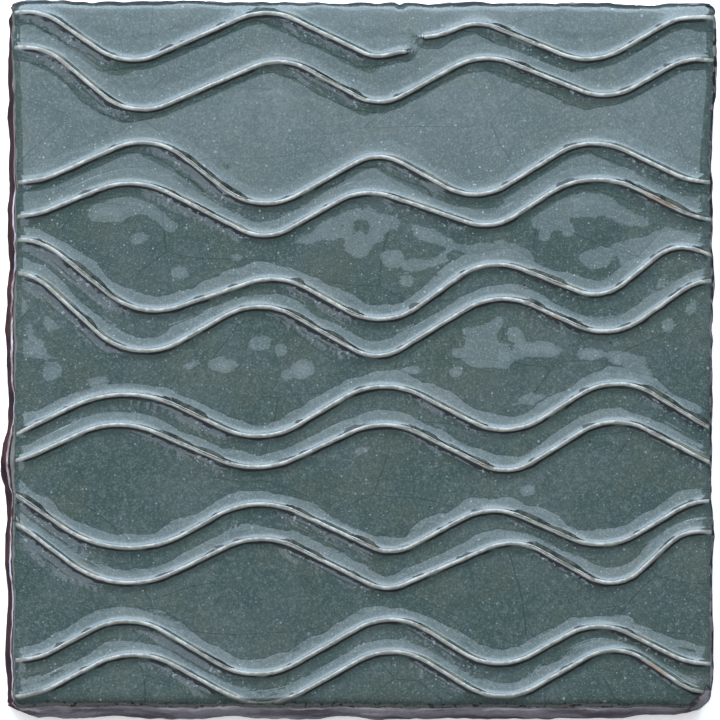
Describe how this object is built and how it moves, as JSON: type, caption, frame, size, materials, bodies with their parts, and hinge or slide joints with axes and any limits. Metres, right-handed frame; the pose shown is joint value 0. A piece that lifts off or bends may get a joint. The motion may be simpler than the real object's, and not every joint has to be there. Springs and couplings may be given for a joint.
{
  "type": "glazed relief tile",
  "caption": "Square handmade wall tile with a crackle glaze over raised wavy lines on its face and shallow keying grooves in its back.",
  "frame": {"origin": "under the middle of the tile, on the plane of its back", "axes": "+Z out of the glazed face, +X along the raised lines to the right as the picture shows them, +Y towards the tile's top edge"},
  "size_m": [0.1522, 0.153, 0.0149],
  "materials": {
    "crackle_glaze": "gloss, crackled grey-green glaze that breaks pale over the raised lines, bare mauve-brown clay on the sides and back"
  },
  "bodies": {
    "root": {"glazed_tile": "crackle_glaze"}
  },
  "joints": []
}
